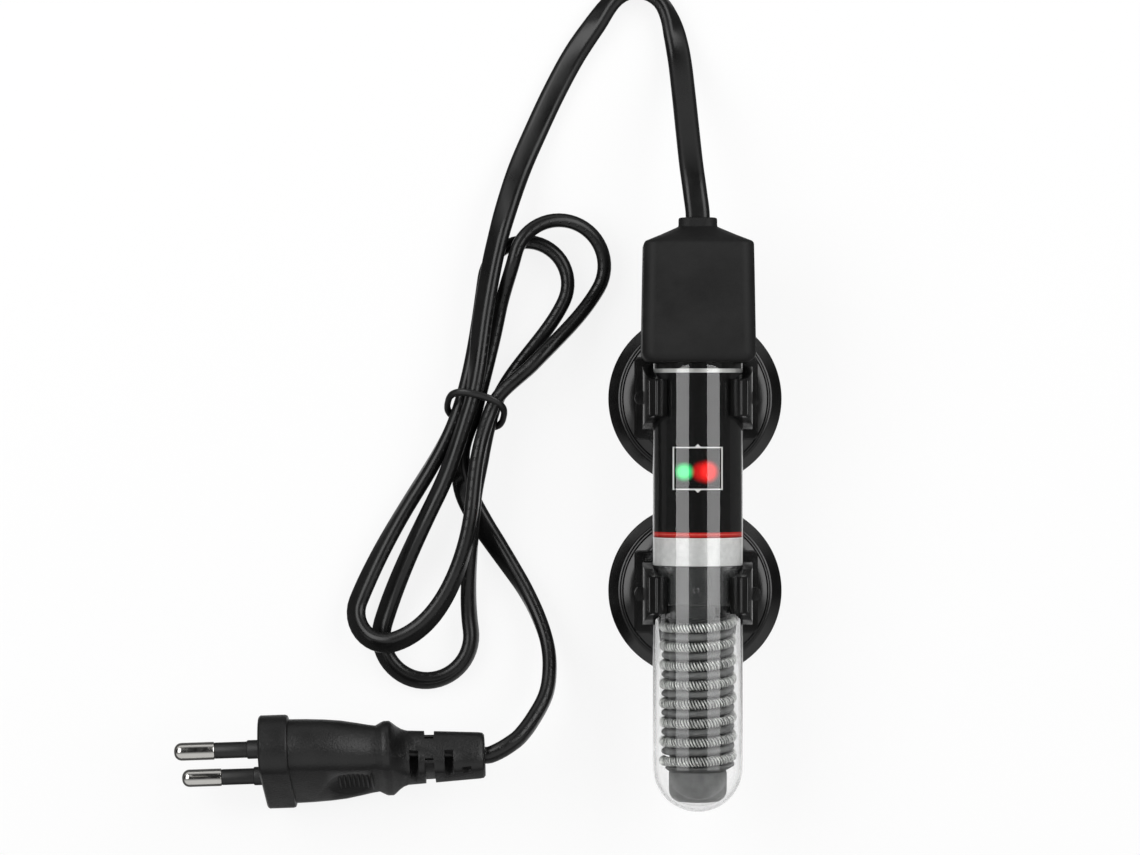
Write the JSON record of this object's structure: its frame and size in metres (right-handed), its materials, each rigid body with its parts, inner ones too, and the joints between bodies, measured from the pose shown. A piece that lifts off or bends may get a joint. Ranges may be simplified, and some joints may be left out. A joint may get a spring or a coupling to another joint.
{
  "type": "submersible aquarium heater",
  "caption": "Slim glass-tube aquarium heater with a square rubber cap, two sliding clips on suction cups, and a flat cord tied in a hank with a flat two-pin plug.",
  "frame": {"origin": "on the surface that the suction cups hold, under the middle of the heater's length", "axes": "+Y along the glass tube towards the cap and cord, +Z away from the surface that the suction cups hold"},
  "size_m": [0.1358, 0.1865, 0.0359],
  "materials": {
    "tube_glass": "clear",
    "cap_rubber": "matt moulded",
    "seal_rubber": "matt",
    "stopper_rubber": "matt",
    "clamp_plastic": "moulded",
    "cord_pvc": "extruded, half gloss",
    "core_insulation": "extruded",
    "label_film": "printed film",
    "board_laminate": "glass laminate",
    "green_lens": "lit lens",
    "red_lens": "lit lens",
    "resistor_body": "lacquered",
    "frame_steel": "stamped",
    "contact_silver": "polished",
    "magnet": "sintered",
    "screw_brass": "turned",
    "bimetal": "rolled strip",
    "holder_plastic": "moulded",
    "ceramic": "fired ceramic",
    "heating_wire": "wound wire",
    "lead_wire": "tinned",
    "terminal_brass": "pressed",
    "bracket_plastic": "moulded",
    "cup_rubber": "smooth moulded",
    "tie_plastic": "extruded",
    "plug_pvc": "spark-eroded",
    "insert_plastic": "moulded",
    "pin_metal": "nickel plated",
    "sleeve_plastic": "moulded"
  },
  "bodies": {
    "heater": {"glass_tube": "tube_glass", "rubber_cap": "cap_rubber", "seal_ring": "seal_rubber", "tube_stopper": "stopper_rubber", "cord_grip": "clamp_plastic", "inlet_cord": "cord_pvc", "supply_cores": "core_insulation", "label_sleeve": "label_film", "circuit_board": "board_laminate", "green_lamp": "green_lens", "red_lamp": "red_lens", "lamp_resistors": "resistor_body", "thermostat_frame": "frame_steel", "fixed_contact": "contact_silver", "snap_magnet": "magnet", "setting_screw": "screw_brass", "element_holder": "holder_plastic", "ceramic_core": "ceramic", "heating_coil": "heating_wire", "heater_leads": "lead_wire", "element_terminals": "terminal_brass", "cord_lead": "cord_pvc", "cord_hank": "cord_pvc", "cord_tail": "cord_pvc", "cord_tie": "tie_plastic", "plug_body": "plug_pvc", "plug_insert": "insert_plastic", "plug_cores": "core_insulation", "left_pin": "pin_metal", "right_pin": "pin_metal", "left_sleeve": "sleeve_plastic", "right_sleeve": "sleeve_plastic"},
    "upper_clip": {"upper_bracket": "bracket_plastic"},
    "lower_clip": {"lower_bracket": "bracket_plastic"},
    "upper_cup": {"upper_suction_cup": "cup_rubber"},
    "lower_cup": {"lower_suction_cup": "cup_rubber"},
    "blade": {"bimetal_blade": "bimetal", "moving_contact": "contact_silver"}
  },
  "joints": [
    {"name": "upper_clip_slide", "type": "slide", "parent": "heater", "child": "upper_clip", "axis": [0, 1, 0], "range_m": [-0.0015, 0.0005]},
    {"name": "lower_clip_slide", "type": "slide", "parent": "heater", "child": "lower_clip", "axis": [0, 1, 0], "range_m": [-0.031, 0.0015]},
    {"name": "upper_cup_turn", "type": "hinge", "parent": "upper_clip", "child": "upper_cup", "pos_m": [0, 0.026, 0], "axis": [0, 0, 1], "continuous": true},
    {"name": "lower_cup_turn", "type": "hinge", "parent": "lower_clip", "child": "lower_cup", "pos_m": [0, -0.0176, 0], "axis": [0, 0, 1], "continuous": true},
    {"name": "blade_flex", "type": "hinge", "parent": "heater", "child": "blade", "pos_m": [0, 0.035, 0.0181], "axis": [1, 0, 0], "range_deg": [0, 2], "stiffness_Nm_per_rad": 0.05}
  ]
}
